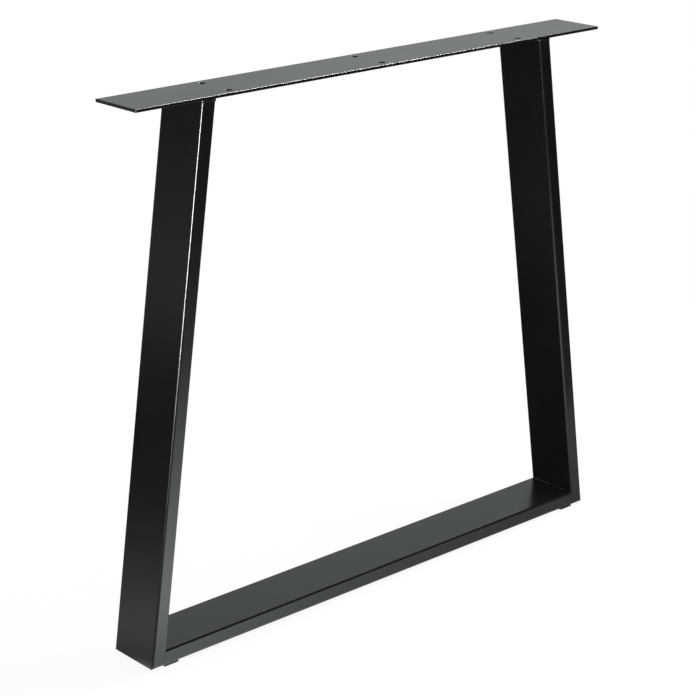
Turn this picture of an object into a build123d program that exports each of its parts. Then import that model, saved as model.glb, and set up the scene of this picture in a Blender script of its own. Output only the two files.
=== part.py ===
from build123d import *
import os
from math import atan2, cos, degrees, hypot, pi, sin, tan

# A welded steel table leg: two leaning tubes on a floor rail, under a long bolting plate.
# X runs along the plate, Y across the tubes, Z up. The origin is on the floor, below the middle.
# All sizes are in millimetres.

# The frame as a whole
overall_height = 720.0  # floor to the plate's top face
width_at_floor = 800.0  # over the outer edges of the two mitred bottom corners
width_at_plate = 600.0  # over the outer faces of the two legs where they meet the plate

# Rectangular tube, the same for the legs and the rail
tube_depth = 80.0  # wide side, along Y
tube_thickness = 20.0  # narrow side
tube_wall = 2.0
tube_corner_radius = 3.0  # outside

# Bolting plate, a length of flat bar
plate_length = 796.0
plate_width = 80.0
plate_thickness = 4.0
plate_edge_radius = 0.8  # long edges, as rolled
plate_end_chamfer = 0.5  # round the two sawn ends

# Screw holes in the plate: three stations, two rows
hole_diameter = 9.0
hole_station_pitch = 250.0
hole_row_spacing = 52.0
hole_rim_chamfer = 0.4  # on the top face, which lies against the table
station_count = 3
row_count = 2

# Floor pads under the rail, one near each end
pad_thickness = 3.0
pad_length = 24.0  # along the rail
pad_side_inset = 1.5  # from the rail's front and back faces
pad_end_inset = 20.0  # from the rail's outer bottom edge
pad_corner_radius = 3.0
pad_edge_chamfer = 0.8

# Weld beads
bead_radius = 2.8  # at the valleys between ripples, on average
bead_unevenness = 0.35  # how far the radius wanders along a bead
ripple_height = 0.45
ripple_pitch = 6.0
ripple_lead = 0.3  # share of each ripple that rises to its crest
bead_taper = 2.0  # length of a bead's run-out at either end
bead_tip_share = 0.4  # radius at the very end, as a share of the radius before the run-out
seam_height = 1.8  # the slim seam right round a leg's top, down from the plate
seam_proud = 0.7  # how far it stands out from the tube where it meets the plate
seam_chamfer = 0.5

# Worked out from the sizes above
rail_bottom = pad_thickness
plate_bottom = overall_height - plate_thickness
leg_rise = plate_bottom - rail_bottom
leg_run = (width_at_floor - width_at_plate) / 2
leg_length = hypot(leg_run, leg_rise)
lean = atan2(leg_run, leg_rise)  # from upright, in radians
corner_angle = pi / 2 - lean  # between a leg and the rail, inside the frame
tube_top_width = tube_thickness / cos(lean)  # a leg's narrow side where the plate cuts it
flat_half = tube_depth / 2 - tube_corner_radius  # half of a tube's flat wide side
inner_corner_x = width_at_floor / 2 - tube_thickness / tan(corner_angle / 2)
inner_corner_z = rail_bottom + tube_thickness
bead_length = 2 * (flat_half - bead_taper)  # between its two run-outs


def tube_section():
    outer = RectangleRounded(tube_depth, tube_thickness, tube_corner_radius)
    bore_depth = tube_depth - 2 * tube_wall
    bore_thickness = tube_thickness - 2 * tube_wall
    bore = RectangleRounded(bore_depth, bore_thickness, tube_corner_radius - tube_wall)
    return outer - bore


def mitre_plane(side):
    """The cut through the bottom corner on one side, with its normal away from the leg."""
    half = corner_angle / 2
    normal = (side * -sin(half), 0, -cos(half))
    return Plane(origin=(side * width_at_floor / 2, 0, rail_bottom), x_dir=(0, 1, 0), z_dir=normal)


def leg_axis_plane(side):
    """A plane across the leg, its origin level with the bottom corner, on the tube's centre line."""
    along = (side * -sin(lean), 0, cos(lean))
    inward = (side * -cos(lean), 0, -sin(lean))
    x = side * width_at_floor / 2 + inward[0] * tube_thickness / 2
    z = rail_bottom + inward[2] * tube_thickness / 2
    return Plane(origin=(x, 0, z), x_dir=(0, 1, 0), z_dir=along)


def leg_blank(side, section):
    """A section run along the leg, past the mitre below and the plate above."""
    spare = 2 * tube_thickness
    run = extrude(leg_axis_plane(side) * section, amount=leg_length + spare)
    return run + extrude(leg_axis_plane(side) * section, amount=-spare)


def leg_tube(side):
    blank = leg_blank(side, tube_section())
    mitred = split(blank, bisect_by=mitre_plane(side), keep=Keep.BOTTOM)
    return split(mitred, bisect_by=Plane.XY.offset(plate_bottom), keep=Keep.BOTTOM)


def floor_rail():
    centre = Plane(origin=(0, 0, rail_bottom + tube_thickness / 2), x_dir=(0, 1, 0), z_dir=(1, 0, 0))
    blank = extrude(centre * tube_section(), amount=width_at_floor / 2, both=True)
    for side in (-1, 1):
        blank = split(blank, bisect_by=mitre_plane(side), keep=Keep.TOP)
    return blank


def top_plate():
    middle = Pos(0, 0, plate_bottom + plate_thickness / 2)
    bar = middle * Box(plate_length, plate_width, plate_thickness)
    bar = fillet(bar.edges().filter_by(Axis.X), plate_edge_radius)
    bar = chamfer(bar.faces().filter_by(Axis.X).edges(), plate_end_chamfer)
    stations = GridLocations(hole_station_pitch, hole_row_spacing, station_count, row_count)
    drill = Cylinder(hole_diameter / 2, 2 * plate_thickness)
    bar = bar - [middle * station * drill for station in stations]
    top_face = bar.faces().sort_by(Axis.Z)[-1]
    return chamfer(top_face.edges().filter_by(GeomType.CIRCLE), hole_rim_chamfer)


def floor_pad(side):
    width = tube_depth - 2 * pad_side_inset
    x = side * (width_at_floor / 2 - pad_end_inset - pad_length / 2)
    outline = Pos(x, 0, 0) * RectangleRounded(pad_length, width, pad_corner_radius)
    pad = extrude(outline, amount=pad_thickness)
    return chamfer(pad.faces().sort_by(Axis.Z)[0].edges(), pad_edge_chamfer)


def ripple_radius(index):
    """The bead's radius at one valley. It wanders the way a hand-laid bead does."""
    return bead_radius + bead_unevenness * sin(2.3 * index) * cos(0.7 * index)


def bead_outline(length):
    """Half of a bead cut lengthwise: ripples over a straight joint line, with tapered ends.

    Each ripple rises steeply and falls away slowly, because it froze over the one before it.
    """
    count = max(2, round(length / ripple_pitch))
    step = length / count
    start = -length / 2
    first, last = ripple_radius(0), ripple_radius(count)
    tip, far_tip = start - bead_taper, -start + bead_taper
    ridge = [(tip, 0), (tip, bead_tip_share * first)]
    for index in range(count):
        valley, next_valley = ripple_radius(index), ripple_radius(index + 1)
        base = start + index * step
        ridge.append((base, valley))
        ridge.append((base + ripple_lead * step, (valley + next_valley) / 2 + ripple_height))
    ridge.extend([(-start, last), (far_tip, bead_tip_share * last), (far_tip, 0)])
    return make_face(Polyline(*ridge, close=True))


def wedge_bead(x, z, start_angle, wedge_angle):
    """A rippled bead in the corner between two flats that meet along Y.

    The first flat leaves the joint at start_angle, in radians from +X towards +Z. The bead
    fills from there to the second flat, which lies wedge_angle below the first.
    """
    across = Plane(origin=(x, 0, z), x_dir=(0, 1, 0), z_dir=(sin(start_angle), 0, -cos(start_angle)))
    outline = across * bead_outline(bead_length)
    return revolve(outline, axis=Axis((x, 0, z), (0, 1, 0)), revolution_arc=degrees(wedge_angle))


def corner_weld():
    """The bead in the right-hand inner corner, where the leg stands on the rail."""
    return wedge_bead(inner_corner_x, inner_corner_z, pi, corner_angle)


def leg_envelope():
    return leg_blank(1, RectangleRounded(tube_depth, tube_thickness, tube_corner_radius))


def seam_collar():
    """The slim seam that runs right round the leg's top, dressed back close to the tube."""
    middle = width_at_plate / 2 - tube_top_width / 2
    length = tube_top_width + 2 * seam_proud
    width = tube_depth + 2 * seam_proud
    outline = RectangleRounded(length, width, tube_corner_radius + seam_proud)
    collar = extrude(Pos(middle, 0, plate_bottom - seam_height) * outline, amount=seam_height)
    collar = chamfer(collar.faces().sort_by(Axis.Z)[0].edges(), seam_chamfer)
    return collar - leg_envelope()


def top_weld():
    """The bead round the right leg's top, under the plate."""
    outer = wedge_bead(width_at_plate / 2, plate_bottom, 0, corner_angle)
    inner_x = width_at_plate / 2 - tube_top_width
    inner = wedge_bead(inner_x, plate_bottom, -corner_angle, pi - corner_angle)
    return seam_collar() + outer + inner


nodes = {
    "top_plate": top_plate(),
    "floor_rail_tube": floor_rail(),
}
for side, name in ((1, "right"), (-1, "left")):
    nodes[name + "_leg_tube"] = leg_tube(side)
    nodes[name + "_floor_pad"] = floor_pad(side)
for name, weld in (("top_weld", top_weld()), ("corner_weld", corner_weld())):
    nodes["right_" + name] = weld
    nodes["left_" + name] = mirror(weld, about=Plane.YZ)

os.makedirs("parts", exist_ok=True)
for name, solid in nodes.items():
    export_step(solid, os.path.join("parts", name + ".step"))
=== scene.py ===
# %% [markdown]
# A steel table leg for a dining table or bench
#
# The real thing is a trapezoid of black powder-coated steel: a flat bar with screw holes on
# top, two leaning rectangular tubes below it, and a third tube along the floor. The construction
# arrives as a fixed frame of solids at their real size. What is added here is what the eye
# judges: the coating, the welds as a hand lays them, the rubber pads, and a plain studio.

# %% Load the frame
import bpy
import math
import random
from collections import Counter
from mathutils import Matrix, Vector


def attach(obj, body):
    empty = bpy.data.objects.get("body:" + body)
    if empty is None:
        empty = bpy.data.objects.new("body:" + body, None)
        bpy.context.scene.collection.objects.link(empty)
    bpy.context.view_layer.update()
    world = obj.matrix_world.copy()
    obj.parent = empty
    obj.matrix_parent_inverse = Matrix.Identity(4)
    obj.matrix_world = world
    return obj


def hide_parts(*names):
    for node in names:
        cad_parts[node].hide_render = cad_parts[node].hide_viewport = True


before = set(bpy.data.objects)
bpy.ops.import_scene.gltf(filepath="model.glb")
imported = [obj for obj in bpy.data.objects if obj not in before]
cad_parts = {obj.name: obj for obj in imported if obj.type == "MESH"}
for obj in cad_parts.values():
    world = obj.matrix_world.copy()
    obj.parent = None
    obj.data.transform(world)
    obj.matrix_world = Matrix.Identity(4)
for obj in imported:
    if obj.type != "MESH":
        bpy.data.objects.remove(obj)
bpy.ops.object.select_all(action="DESELECT")
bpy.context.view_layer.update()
scene = bpy.context.scene
mm = 0.001  # this script's lengths are in metres
print("nodes:", ", ".join(sorted(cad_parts)))

# %% [markdown]
# The camera
#
# The picture looks down on the frame from its left front corner. A long lens keeps the
# uprights nearly parallel, as a product photographer would. The lens is shifted a little, as if
# the picture had been cropped from a taller one. More shift would push the object out of the
# frame when it is seen from its other sides.

# %% Camera
camera_azimuth = math.radians(-41.92)
camera_elevation = math.radians(17.83)
camera_distance = 2.7288
camera_target = Vector((-0.0345, 0.0, 0.4030))
lens_length = 106.90  # millimetres, on a sensor 36 mm wide
lens_shift = -0.069  # of the picture's width, downwards


def back_vector(azimuth, elevation):
    """The direction from the target to a camera that looks along +Y at azimuth 0."""
    level = math.cos(elevation)
    return Vector((math.sin(azimuth) * level, -math.cos(azimuth) * level, math.sin(elevation)))


def aim(thing, target):
    """Turns a camera or lamp so that it looks at the target."""
    thing.rotation_euler = (Vector(target) - thing.location).to_track_quat("-Z", "Y").to_euler()


towards_camera = back_vector(camera_azimuth, camera_elevation)
bpy.ops.object.camera_add(location=camera_target + camera_distance * towards_camera)
camera = bpy.context.object
camera.name = "camera"
camera.data.lens = lens_length
camera.data.shift_y = lens_shift
camera.data.clip_end = 100.0
aim(camera, camera_target)
scene.camera = camera
scene.view_settings.view_transform = "Standard"
print("camera at", [round(c, 3) for c in camera.location])

# %% [markdown]
# Shader maths as plain arithmetic
#
# A node tree is hard to read as a list of links. The small class below wraps one output
# socket, so that `0.3 + 0.1 * cloud` adds its own Math nodes.

# %% A value in a node tree
class Strand:
    """One output socket. Arithmetic on it adds Math nodes to its tree."""

    def __init__(self, finish, socket):
        self.finish = finish
        self.socket = socket

    def __add__(self, other):
        return self.finish.math("ADD", self, other)

    def __sub__(self, other):
        return self.finish.math("SUBTRACT", self, other)

    def __rsub__(self, other):
        return self.finish.math("SUBTRACT", other, self)

    def __mul__(self, other):
        return self.finish.math("MULTIPLY", self, other)

    def __truediv__(self, other):
        return self.finish.math("DIVIDE", self, other)

    def __pow__(self, other):
        return self.finish.math("POWER", self, other)

    def __rpow__(self, other):
        return self.finish.math("POWER", other, self)

    def maximum(self, other):
        return self.finish.math("MAXIMUM", self, other)

    __radd__ = __add__
    __rmul__ = __mul__


# %% [markdown]
# One tree for each material
#
# `Finish` holds a material's node tree. Its method `node` takes a node's type, its settings and
# its inputs, and every node is made there. The methods after it name what the materials below
# share: soft noise, an eased step, a blend of two colours, and a bump.

# %% The tree that the values live in
class Finish:
    """A node tree for one material, or for the world."""

    def __init__(self, owner):
        owner.use_nodes = True
        self.owner = owner
        self.tree = owner.node_tree
        self.tree.nodes.clear()

    def node(self, kind, settings=None, inputs=None):
        """A node with its settings, then its inputs by name or by number."""
        made = self.tree.nodes.new(kind)
        for name, value in (settings or {}).items():
            setattr(made, name, value)
        for name, value in (inputs or {}).items():
            if isinstance(value, Strand):
                self.tree.links.new(value.socket, made.inputs[name])
            else:
                made.inputs[name].default_value = value
        return made

    def output(self, made, name):
        return Strand(self, made.outputs[name])

    def math(self, operation, first, second):
        made = self.node("ShaderNodeMath", {"operation": operation}, {0: first, 1: second})
        return self.output(made, "Value")

    def place(self):
        """Where a point lies on the object, in metres."""
        return self.output(self.node("ShaderNodeTexCoord"), "Object")

    def axes(self, place):
        """The three coordinates of a place, one by one."""
        parts = self.node("ShaderNodeSeparateXYZ", None, {"Vector": place})
        return [self.output(parts, axis) for axis in "XYZ"]

    def eased(self, value, start, end, low=0.0, high=1.0):
        """A smooth step from low at start to high at end."""
        inputs = {"Value": value, "From Min": start, "From Max": end}
        inputs.update({"To Min": low, "To Max": high})
        made = self.node("ShaderNodeMapRange", {"interpolation_type": "SMOOTHSTEP"}, inputs)
        return self.output(made, "Result")

    def noise(self, place, size, detail=2.0, roughness=0.5):
        """Soft random blotches of about the given size, from 0 to 1."""
        inputs = {"Vector": place, "Scale": 1.0 / size, "Detail": detail, "Roughness": roughness}
        return self.output(self.node("ShaderNodeTexNoise", None, inputs), "Fac")

    def blend(self, first, second, share):
        """A colour from first to second. The node's colours are its inputs 6 and 7."""
        inputs = {0: share, 6: first, 7: second}
        return self.output(self.node("ShaderNodeMix", {"data_type": "RGBA"}, inputs), 2)

    def scaled(self, colour, strength):
        """The colour times a number that may pass 1."""
        inputs = {0: colour[:3], "Scale": strength}
        made = self.node("ShaderNodeVectorMath", {"operation": "SCALE"}, inputs)
        return self.output(made, "Vector")

    def bump(self, height):
        """A normal for a height in metres."""
        inputs = {"Height": height, "Distance": 1.0, "Strength": 1.0}
        return self.output(self.node("ShaderNodeBump", None, inputs), "Normal")

    def shader(self, kind, inputs, outlet="BSDF"):
        return self.output(self.node(kind, None, inputs), outlet)

    def surface(self, shader, kind="ShaderNodeOutputMaterial"):
        self.node(kind, None, {"Surface": shader})
        return self.owner


# %% [markdown]
# Black powder coating
#
# Powder is sprayed on dry and melted into a skin about a tenth of a millimetre thick. Close up
# it has orange peel, a gentle ripple of a few millimetres, with a finer grain on top. From a
# step away it is a deep black with a satin shine that is never quite even. So the colour is
# nearly constant, and the detail is in the bump and in the roughness.

# %% Powder coating
coat_black = (0.0068, 0.0076, 0.0080, 1.0)
coat_thin = (0.0092, 0.0101, 0.0105, 1.0)
peel_size = 2.4 * mm
grain_size = 0.5 * mm
grain_share = 0.25  # the grain's height, as a share of the peel's
cloud_size = 70 * mm  # how far apart the shinier and the duller areas lie
cloud_unevenness = 0.10  # in roughness, from one to the other
grain_unevenness = 0.06
black_ior = 1.5  # refraction of the coating, and of rubber


def powder_coat(name, roughness, peel_height):
    """A satin black skin with orange peel of the given height."""
    finish = Finish(bpy.data.materials.new(name))
    place = finish.place()
    cloud = finish.noise(place, cloud_size, detail=3.0)
    peel = finish.noise(place, peel_size, detail=1.0)
    grain = finish.noise(place, grain_size, detail=2.0, roughness=0.6)
    height = peel * peel_height + grain * (grain_share * peel_height)
    uneven = roughness + cloud_unevenness * (cloud - 0.5) + grain_unevenness * (grain - 0.5)
    inputs = {
        "Base Color": finish.blend(coat_black, coat_thin, cloud),
        "Roughness": uneven,
        "Normal": finish.bump(height),
        "IOR": black_ior,
    }
    return finish.surface(finish.shader("ShaderNodeBsdfPrincipled", inputs))


def dress(names, material):
    """Gives the frame's own solids a material."""
    for name in names:
        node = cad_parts[name]
        node.data.materials.clear()
        node.data.materials.append(material)
    print(material.name, "on", ", ".join(names))


coat = powder_coat("black_powder_coat", roughness=0.24, peel_height=0.009 * mm)
steel_names = ["top_plate", "floor_rail_tube", "left_leg_tube", "right_leg_tube"]
dress(steel_names, coat)

# %% [markdown]
# Rubber floor pads
#
# The strips that the rail stands on are moulded rubber: matt, a shade greyer than the steel,
# with a fine tooth that stops them sliding.

# %% Rubber
rubber_black = (0.0075, 0.0075, 0.0075, 1.0)
rubber_bloom = (0.0140, 0.0140, 0.0145, 1.0)
rubber_roughness = 0.72
bloom_size = 9 * mm
tooth_size = 0.6 * mm
tooth_height = 0.05 * mm
tooth_unevenness = 0.12  # in roughness


def rubber():
    """Matt black rubber with a faint greyer bloom and a fine tooth."""
    finish = Finish(bpy.data.materials.new("moulded_rubber"))
    place = finish.place()
    bloom = finish.noise(place, bloom_size, detail=4.0)
    tooth = finish.noise(place, tooth_size, detail=2.0)
    inputs = {
        "Base Color": finish.blend(rubber_black, rubber_bloom, bloom),
        "Roughness": rubber_roughness + tooth_unevenness * (tooth - 0.5),
        "Normal": finish.bump(tooth * tooth_height),
        "IOR": black_ior,
    }
    return finish.surface(finish.shader("ShaderNodeBsdfPrincipled", inputs))


dress(["left_floor_pad", "right_floor_pad"], rubber())

# %% [markdown]
# Weld beads, puddle by puddle
#
# A bead is a row of small puddles. Each one froze while it leaned back on the one before, and
# no two are quite alike. The sizes here are those of the frame, so that the beads sit in its
# corners.

# %% Where the beads sit
plate_bottom = 716 * mm
rail_top = 23 * mm
leg_lean = math.atan2(100.0, 713.0)  # from upright
leg_outside = 300 * mm  # from the middle, where the leg meets the plate
rail_end = 400 * mm  # from the middle to the outer tip of a bottom corner
tube_thickness = 20 * mm
tube_depth = 80 * mm
tube_corner = 3 * mm
cut_width = tube_thickness / math.cos(leg_lean)  # the leg's narrow side, cut level
sink = 0.02 * mm  # how far a bead reaches into the steel, so that no light shows between
skin_grain = 0.24 * mm  # of the skin that the puddles melt into
sharpest_smooth = math.radians(40)  # steeper steps than this stay as edges
cutter_thickness = 20 * mm  # the blocks that cut a bead flat are larger than what they take
cutter_width = 60 * mm
cutter_length = 120 * mm
print("the legs lean by", round(math.degrees(leg_lean), 2), "degrees")

# %% [markdown]
# One puddle
#
# A puddle is a ball pressed to size: long along the seam, proud of the steel, and tilted back.
# The ball is made once, and each puddle is a copy of it.

# %% One puddle
def only(thing):
    """Selects one object and makes it the active one."""
    bpy.ops.object.select_all(action="DESELECT")
    thing.select_set(True)
    bpy.context.view_layer.objects.active = thing


bpy.ops.mesh.primitive_uv_sphere_add(segments=20, ring_count=12, radius=1.0)
ball = bpy.context.object
ball.name = "ball"


def puddle(centre, along, outward, size, lean_back):
    """A copy of the ball: long, proud and deep as size says, leaning back along the seam."""
    forward = Vector(along).normalized()
    proud = Vector(outward).normalized()
    axes = Matrix((forward, proud, forward.cross(proud))).transposed().to_4x4()
    turn = Matrix.Rotation(lean_back, 4, forward.cross(proud))
    only(ball)
    bpy.ops.object.duplicate()
    made = bpy.context.object
    made.matrix_world = Matrix.Translation(centre) @ turn @ axes @ Matrix.Diagonal((*size, 1.0))
    return made


print("a puddle starts as a ball with", len(ball.data.polygons), "faces")

# %% [markdown]
# From puddles to a bead
#
# A row of puddles is wrapped in one closed skin and smoothed a little, as if it had melted. The
# skin is then cut flat where it meets the steel, so it lies in its corner with no gap. A closed
# solid has no open edges, and each bead says how many it has.

# %% Melting, cutting and fitting
def modified(thing, kind, **settings):
    """Adds a modifier with its settings, and applies it."""
    only(thing)
    bpy.ops.object.modifier_add(type=kind)
    modifier = thing.modifiers[-1]
    for name, value in settings.items():
        setattr(modifier, name, value)
    bpy.ops.object.modifier_apply(modifier=modifier.name)


def melted(puddles, name):
    """One closed skin over a row of puddles."""
    only(puddles[0])
    for each in puddles:
        each.select_set(True)
    bpy.ops.object.join()
    bead = bpy.context.object
    bead.name = name
    bpy.ops.object.transform_apply(location=True, rotation=True, scale=True)
    modified(bead, "REMESH", mode="VOXEL", voxel_size=skin_grain)
    modified(bead, "SMOOTH", factor=0.5, iterations=2)
    return bead


def block(middle, size, lean=0.0):
    """A solid bar or slab, turned about Y, to cut with."""
    bpy.ops.mesh.primitive_cube_add(size=1.0, location=middle, rotation=(0, lean, 0), scale=size)
    made = bpy.context.object
    bpy.ops.object.transform_apply(location=True, rotation=True, scale=True)
    return made


def cut(thing, cutter):
    """Takes the cutter out of the thing, and removes it."""
    modified(thing, "BOOLEAN", operation="DIFFERENCE", solver="MANIFOLD", object=cutter)
    bpy.data.objects.remove(cutter)


def open_edges(thing):
    """How many edges don't join exactly two faces. A closed solid has none."""
    shared = Counter(edge for face in thing.data.polygons for edge in face.edge_keys)
    return sum(1 for faces in shared.values() if faces != 2)


def fit_weld(bead, node):
    """Coats a finished bead and puts it in the place of the frame's plain one."""
    only(bead)
    bpy.ops.object.shade_smooth_by_angle(angle=sharpest_smooth)
    bead.data.materials.clear()
    bead.data.materials.append(weld_coat)
    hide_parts(node)
    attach(bead, "root")
    print(bead.name, "has", len(bead.data.polygons), "faces and", open_edges(bead), "open edges")


weld_coat = powder_coat("weld_powder_coat", roughness=0.28, peel_height=0.020 * mm)
print("the beads' own material:", weld_coat.name)

# %% [markdown]
# The weld round each leg's top
#
# The bead runs right round the tube under the plate. On the two wide sides there is room for a
# full bead. On the narrow sides the plate's edge is flush with the tube, so the bead is slight,
# and it was dressed back.

# %% The way round a leg's top
wide_pitch, narrow_pitch = 2.0 * mm, 4.3 * mm
wide_proud, narrow_proud = 2.75 * mm, 0.60 * mm
wide_drop, narrow_drop = 2.75 * mm, 2.0 * mm
narrow_below = 1.1 * mm  # from the plate's underside down to the middle of a slight puddle
narrow_back = 0.10 * mm  # and how far behind the tube's face
wide_reach, narrow_reach = 0.72, 0.52  # half of a puddle's length, as a share of the pitch
wide_lean, narrow_lean = 24, 15  # degrees that a puddle leans back
run_out = 14 * mm  # along a wide side, how far the bead takes to fill out from either end
end_share = 0.08  # how full it is at that end
corner_stops = 3  # puddles round each of the tube's corners
full_spread, thin_spread = 0.05, 0.22  # how much the height varies, where full and elsewhere
length_range = (0.9, 1.1)
dressed_at = 40.69 * mm  # from the middle, where the narrow sides were dressed back
leg_cutter_height = 100 * mm


def tube_outline():
    """The leg's outline under the plate: each stop's place, outward direction and wide share."""
    half_x, half_y = cut_width / 2 - tube_corner, tube_depth / 2 - tube_corner
    stops = []

    def side(start, end, outward, wide):
        length = math.dist(start, end)
        count = round(length / (wide_pitch if wide else narrow_pitch))
        for step in range(count):
            share = (step + 0.5) / count
            x = start[0] + (end[0] - start[0]) * share
            y = start[1] + (end[1] - start[1]) * share
            full = min(1.0, end_share + length * min(share, 1 - share) / run_out)
            stops.append(((x, y), outward, full if wide else 0.0))

    def corner(middle, start_angle, leaves_wide):
        for step in range(corner_stops):
            share = (step + 0.5) / corner_stops
            angle = math.radians(start_angle + 90 * share)
            outward = (math.cos(angle), math.sin(angle))
            place = (middle[0] + tube_corner * outward[0], middle[1] + tube_corner * outward[1])
            stops.append((place, outward, end_share * (1 - share if leaves_wide else share)))

    far_x, far_y = cut_width / 2, tube_depth / 2
    side((far_x, -half_y), (far_x, half_y), (1, 0), True)
    corner((half_x, half_y), 0, True)
    side((half_x, far_y), (-half_x, far_y), (0, 1), False)
    corner((-half_x, half_y), 90, False)
    side((-far_x, half_y), (-far_x, -half_y), (-1, 0), True)
    corner((-half_x, -half_y), 180, True)
    side((-half_x, -far_y), (half_x, -far_y), (0, -1), False)
    corner((half_x, -half_y), 270, False)
    return stops


print("puddles round a leg's top:", len(tube_outline()))

# %% [markdown]
# Laying the top bead
#
# Each stop on the way round gets a puddle. Where the bead is full they are much alike, and
# where it thins out they vary more. The tube and the plate are then cut out of it.

# %% Top welds
def leg_cutter(side):
    """A solid bar with the tube's outside, lying just inside its faces."""
    middle = (side * (leg_outside - cut_width / 2), 0, plate_bottom)
    size = (tube_thickness - 2 * sink, tube_depth - 2 * sink, leg_cutter_height)
    bar = block(middle, size, -side * leg_lean)
    modified(bar, "BEVEL", width=tube_corner, segments=8)
    return bar


def top_weld(side, seed):
    """The bead round one leg's top. Side is 1 at the right and -1 at the left."""
    chance = random.Random(seed)
    middle = side * (leg_outside - cut_width / 2)
    puddles = []
    for (x, y), outward, wide in tube_outline():
        proud = narrow_proud + (wide_proud - narrow_proud) * wide
        drop = narrow_drop + (wide_drop - narrow_drop) * wide
        spread = full_spread if wide == 1.0 else thin_spread
        swell = chance.uniform(1 - spread, 1 + spread)
        length = wide_reach * wide_pitch if wide else narrow_reach * narrow_pitch
        back = narrow_back * (1 - wide)
        z = plate_bottom - narrow_below * (1 - wide)
        centre = (middle + side * (x - back * outward[0]), y - back * outward[1], z)
        along = (-side * outward[1], outward[0], 0)
        out = (side * outward[0], outward[1], 0)
        sizes = (length * chance.uniform(*length_range), proud * swell, drop * swell)
        lean_back = math.radians(wide_lean * wide + narrow_lean * (1 - wide))
        puddles.append(puddle(centre, along, out, sizes, lean_back))
    bead = melted(puddles, ("right" if side > 0 else "left") + "_top_bead")
    cut(bead, leg_cutter(side))
    above = plate_bottom + sink + cutter_thickness / 2
    cut(bead, block((middle, 0, above), (cutter_width, cutter_length, cutter_thickness)))
    for face in (-1, 1):
        beside = face * (dressed_at + cutter_thickness / 2)
        slab = (cutter_width, cutter_thickness, cutter_width)
        cut(bead, block((middle, beside, plate_bottom), slab))
    return bead


fit_weld(top_weld(-1, seed=4), "left_top_weld")
fit_weld(top_weld(1, seed=9), "right_top_weld")

# %% [markdown]
# The weld in each bottom corner
#
# Where the leg stands on the rail, only the inside of the corner still shows its bead. The
# other sides of that mitred joint are ground flush. The bead thins out and swells again,
# because the torch is hard to hold steady in a corner.

# %% Corner welds
inner_corner = rail_end - tube_thickness / math.tan((math.pi / 2 - leg_lean) / 2)
corner_pitch = 2.3 * mm
corner_proud = 1.5 * mm
corner_stop = 1.5 * mm  # how far the bead stops short of the tube's rounded corner
corner_end_share = 0.55  # how full it is there
corner_filling = 6  # how fast it fills out from there, in shares of its length
corner_swell_range = (0.84, 1.16)
corner_length_range = (0.8, 1.0)
corner_wander_range = (-0.3, 0.3)  # millimetres along the bead
corner_lean = math.radians(12)
front_fullness, gain_to_back = 0.60, 0.50
slow_sway, slow_rate = 0.22, 9  # size, and radians over the bead's length
quick_sway, quick_rate = 0.14, 31


def hand_sway(share, seed):
    """How full the bead is along its way, with a slow and a quick wave of the hand."""
    slow = slow_sway * math.sin(slow_rate * share + seed)
    quick = quick_sway * math.sin(quick_rate * share + 2 * seed)
    return front_fullness + gain_to_back * share + slow + quick


def corner_weld(side, seed):
    """The bead along one inner bottom corner. Side is 1 at the right and -1 at the left."""
    chance = random.Random(seed)
    half = tube_depth / 2 - tube_corner - corner_stop
    count = round(2 * half / corner_pitch)
    halfway = leg_lean / 2 + math.pi / 4  # between the rail's top and the leg
    into_room = (-side * math.cos(halfway), 0, math.sin(halfway))
    puddles = []
    for step in range(count + 1):
        share = step / count
        y = -half + 2 * half * share
        ends = min(1.0, corner_end_share + corner_filling * min(share, 1 - share))
        swell = ends * hand_sway(share, seed) * chance.uniform(*corner_swell_range)
        length = corner_pitch * chance.uniform(*corner_length_range)
        sizes = (length, corner_proud * swell, corner_proud * swell)
        centre = (side * inner_corner, y + chance.uniform(*corner_wander_range) * mm, rail_top)
        puddles.append(puddle(centre, (0, 1, 0), into_room, sizes, corner_lean))
    bead = melted(puddles, ("right" if side > 0 else "left") + "_corner_bead")
    below = (side * inner_corner, 0, rail_top - sink - cutter_thickness / 2)
    cut(bead, block(below, (cutter_width, cutter_length, cutter_thickness)))
    into_leg = Vector((side * math.cos(leg_lean), 0, math.sin(leg_lean)))
    joint = Vector((side * inner_corner, 0, rail_top))
    middle = joint + into_leg * (sink + cutter_thickness / 2)
    cut(bead, block(middle, (cutter_thickness, cutter_length, cutter_width), -side * leg_lean))
    return bead


fit_weld(corner_weld(-1, seed=2), "left_corner_weld")
fit_weld(corner_weld(1, seed=7), "right_corner_weld")
bpy.data.objects.remove(ball)

# %% [markdown]
# Floor and background
#
# The floor is a wide pale disc. For the camera, and for what the object mirrors, it is mostly
# plain white with a faint shadow, which reads as an endless studio floor. Other rays meet an
# ordinary pale floor, so no extra light lands on the object.

# %% Floor and world
floor_radius = 30.0
floor_white = (0.86, 0.86, 0.86, 1.0)
white = (1.0, 1.0, 1.0, 1.0)
room_grey = (0.65, 0.65, 0.65, 1.0)  # the room's light on the object
shadow_share = 0.15  # how much of the floor's real shading is left to see, near the object
shadow_near, shadow_far = 1.0, 2.2  # metres from the middle, where that share fades out
near_white = 1.05  # makes up for the shaded share


def seen_directly(finish):
    """1 for rays from the camera, from gloss or through glass, and 0 for the rest."""
    path = finish.node("ShaderNodeLightPath")
    camera_ray = finish.output(path, "Is Camera Ray")
    glossy_ray = finish.output(path, "Is Glossy Ray")
    clear_ray = finish.output(path, "Is Transmission Ray")
    return camera_ray.maximum(glossy_ray).maximum(clear_ray)


def distance(x, y):
    """How far a point is from the middle, measured along the floor."""
    return (x ** 2.0 + y ** 2.0) ** 0.5


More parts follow.
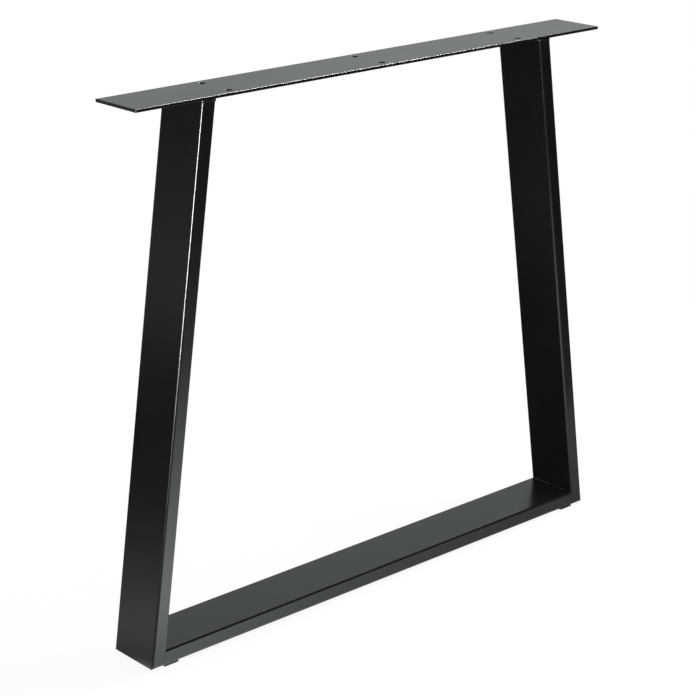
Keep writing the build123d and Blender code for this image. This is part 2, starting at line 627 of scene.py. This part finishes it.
def pale_floor():
    """A floor that looks white, and shows a faint shadow near the object."""
    finish = Finish(bpy.data.materials.new("studio_floor"))
    x, y, _ = finish.axes(finish.place())
    near = finish.eased(distance(x, y), shadow_near, shadow_far, 1.0, 0.0)
    glow = finish.scaled(white, 1.0 + (near_white - 1.0) * near)
    matt = finish.shader("ShaderNodeBsdfDiffuse", {"Color": floor_white})
    plain = finish.shader("ShaderNodeEmission", {"Color": glow, "Strength": 1.0}, "Emission")
    share = (1.0 - shadow_share * near) * seen_directly(finish)
    mixed = finish.shader("ShaderNodeMixShader", {"Fac": share, 1: matt, 2: plain}, "Shader")
    return finish.surface(mixed)


bpy.ops.mesh.primitive_circle_add(vertices=96, radius=floor_radius, fill_type="NGON")
floor = bpy.context.object
floor.name = "studio_floor"
floor.data.materials.append(pale_floor())

world = Finish(bpy.data.worlds.new("studio_world"))
sky = world.blend(room_grey, white, seen_directly(world))
background = world.shader("ShaderNodeBackground", {"Color": sky}, "Background")
world.surface(background, "ShaderNodeOutputWorld")
scene.world = world.owner
print("floor", 2 * floor_radius, "metres across, under", scene.world.name)

# %% [markdown]
# What the gloss mirrors
#
# A satin black surface is seen mostly by its reflections, so a photographer builds a set for
# them: a bright table near the object, a pale wall behind it, and a darker room round the
# camera. Here two glowing cards, which are no lamps, stand in for that set, so all that the
# gloss shows of them is painted reflection: a painted pool of light, a painted shadow of the
# frame beside the rail, and painted walls. These cards are visible to gloss alone. They cast
# no light and no shadow. The table comes first.

# %% The painted table, for the reflections
def for_gloss_only(card):
    """Hides a card from everything but reflections."""
    card.visible_camera = False
    card.visible_diffuse = False
    card.visible_transmission = False
    card.visible_volume_scatter = False
    card.visible_shadow = False


def glowing(name, finish, strength):
    """Sets a glow of the given strength, a little cool, as the photograph is."""
    colour = finish.scaled(cool_white, strength)
    finish.surface(finish.shader("ShaderNodeEmission", {"Color": colour}, "Emission"))
    finish.owner.name = name
    finish.owner.cycles.emission_sampling = "NONE"
    return finish.owner


cool_white = (0.93, 1.0, 1.0)
# the table card's glow is painted reflection of a lit floor, seen in the gloss alone
pool_centre = (-0.36, -0.06)
pool_along = (0.60, -0.80)  # the way the pool of light stretches
pool_length = 0.68
pool_width = 0.34
pool_glow = 3.2
pool_falloff = 0.65  # power of the squared distance: 1 would be a bell curve
# a painted shadow of the frame, which darkens the pool beside the rail
rail_shade = 0.41  # what is left of the pool beside the rail
shade_start, shade_end = -0.22, -0.04  # from front to back, where that shade sets in
spill_centre = (-0.55, 0.12)  # a weaker glow behind the left leg
spill_radius = 0.30
spill_glow = 0.7
spill_front, spill_full = -0.10, 0.03
spill_right, spill_fade = -0.32, 0.2
far_glow = 0.56  # the pale floor well behind the left leg
far_start, far_full = 2.6, 3.8  # metres behind the object
far_waning, far_end = 4.4, 5.6
slant = 0.7071  # cosine of 45 degrees
table_glow = 0.35
table_left, table_right = -0.40, 0.65
table_front, table_back = -0.75, -0.04
table_fade = 0.12
left_fade = 0.03  # a quick end, so that no light spills onto the left leg's outside
back_fade = 0.07
card_radius = 8.0
card_lift = 0.0003  # above the floor


def painted_reflection_table_material():
    """A painted pool of light in front of the object, a painted dim table round it, and a
    painted glow behind.
    """
    finish = Finish(bpy.data.materials.new("painted_reflection_table"))
    x, y, _ = finish.axes(finish.place())
    right = x - pool_centre[0]
    back = y - pool_centre[1]
    along = right * pool_along[0] + back * pool_along[1]
    across = right * pool_along[1] - back * pool_along[0]
    spread = ((along / pool_length) ** 2.0 + (across / pool_width) ** 2.0) ** pool_falloff
    on_table = finish.eased(x, table_left - left_fade, table_left)
    on_table = on_table * finish.eased(y, table_back, table_back + back_fade, 1.0, 0.0)
    # painted shadow of the frame on the pool, beside the rail
    painted_rail_shadow = finish.eased(y, shade_start, shade_end, 1.0, rail_shade)
    pool = pool_glow * math.e ** (0.0 - spread) * on_table * painted_rail_shadow
    table = on_table * finish.eased(x, table_right, table_right + table_fade, 1.0, 0.0)
    table = table_glow * table * finish.eased(y, table_front - table_fade, table_front)
    aside = distance(x - spill_centre[0], y - spill_centre[1])
    spill = spill_glow * math.e ** (0.0 - aside / spill_radius)
    spill = spill * finish.eased(y, spill_front, spill_full)
    spill = spill * finish.eased(x, spill_right, spill_right + spill_fade, 1.0, 0.0)
    behind = (y - x) * slant
    far = far_glow * finish.eased(behind, far_start, far_full)
    far = far * finish.eased(behind, far_waning, far_end, 1.0, 0.0)
    return glowing("painted_reflection_table", finish, pool + table + spill + far)


bpy.ops.mesh.primitive_circle_add(vertices=64, radius=card_radius, fill_type="NGON")
painted_reflection_table = bpy.context.object
painted_reflection_table.location.z = card_lift
painted_reflection_table.name = "painted_reflection_table"
painted_reflection_table.data.materials.append(painted_reflection_table_material())
for_gloss_only(painted_reflection_table)
print("seen in the gloss alone:", painted_reflection_table.name)

# %% [markdown]
# The room round the set
#
# The second card is a great glowing ball round everything, though it is no lamp. Its painted
# walls are pale behind the object and dark round the camera, and darker at their foot, and its
# painted ceiling is darker than they are.

# %% The painted room, for the reflections
room_radius = 8.2
wall_behind = 0.62
wall_in_front = 0.16
behind_start, behind_full = 0.2, 0.75  # shares of the radius, where the pale wall sets in
behind_way = (0.69, 0.72)  # level direction from the camera to the wall behind the object
wall_beside_camera = 0.25  # share left where the room is darkest, right of the camera
beside_start, beside_full = 0.80, 0.95
beside_way = (0.77, 0.64)  # towards +X and -Y, to the camera's right
foot_share = 0.2  # share left at the foot of the walls
foot_low, foot_high = 0.3, 1.1
ceiling_share = 0.18  # of the wall below it
ceiling_low, ceiling_high = 4.0, 6.0


def painted_reflection_room_material():
    """Painted walls, pale behind the object and dark round the camera, and a dark painted
    ceiling.
    """
    finish = Finish(bpy.data.materials.new("painted_reflection_room"))
    x, y, z = finish.axes(finish.place())
    behind = (x * behind_way[0] + y * behind_way[1]) / room_radius
    beside = (x * beside_way[0] - y * beside_way[1]) / room_radius
    level = finish.eased(behind, behind_start, behind_full, wall_in_front, wall_behind)
    level = level * finish.eased(beside, beside_start, beside_full, 1.0, wall_beside_camera)
    level = level * finish.eased(z, foot_low, foot_high, foot_share, 1.0)
    level = level * finish.eased(z, ceiling_low, ceiling_high, 1.0, ceiling_share)
    return glowing("painted_reflection_room", finish, level)


bpy.ops.mesh.primitive_uv_sphere_add(segments=64, ring_count=32, radius=room_radius)
painted_reflection_room = bpy.context.object
painted_reflection_room.name = "painted_reflection_room"
painted_reflection_room.data.materials.append(painted_reflection_room_material())
for_gloss_only(painted_reflection_room)
print("seen in the gloss alone:", painted_reflection_room.name)

# %% [markdown]
# Lamps
#
# A softbox overhead lights the object evenly. Two narrow lamps are there for their glints alone.
# One overhead draws the bright line along the plate's front edge, and the plate hides it from
# the rail, whose own edge stays dark. A tall strip at the left draws the line down the left
# leg's corner.

# %% Lamps
def softbox(name, place, target, size, power):
    """A rectangular lamp. Its first size lies along X where it shines straight down."""
    bpy.ops.object.light_add(type="AREA", location=place)
    lamp = bpy.context.object
    lamp.name = name
    lamp.data.shape = "RECTANGLE"
    lamp.data.size, lamp.data.size_y = size
    lamp.data.energy = power
    lamp.visible_camera = False
    aim(lamp, target)
    return lamp


overhead = softbox(
    "overhead_softbox",
    place=(0.95, -0.30, 1.90),
    target=(0.0, 0.0, 0.36),
    size=(0.70, 0.60),
    power=18.0,
)
overhead.visible_glossy = False
edge_strip = softbox(
    "edge_strip",
    place=(0.56, 0.04, 1.45),
    target=(0.56, 0.04, 0.0),
    size=(0.86, 0.16),
    power=56.0,
)
left_strip = softbox(
    "left_strip",
    place=(-1.70, -0.63, 0.60),
    target=(-0.33, 0.0, 0.60),
    size=(0.10, 0.74),
    power=76.0,
)
for strip in (edge_strip, left_strip):
    strip.visible_diffuse = False
for lamp in (overhead, edge_strip, left_strip):
    print(lamp.name, "with", lamp.data.energy, "watts")
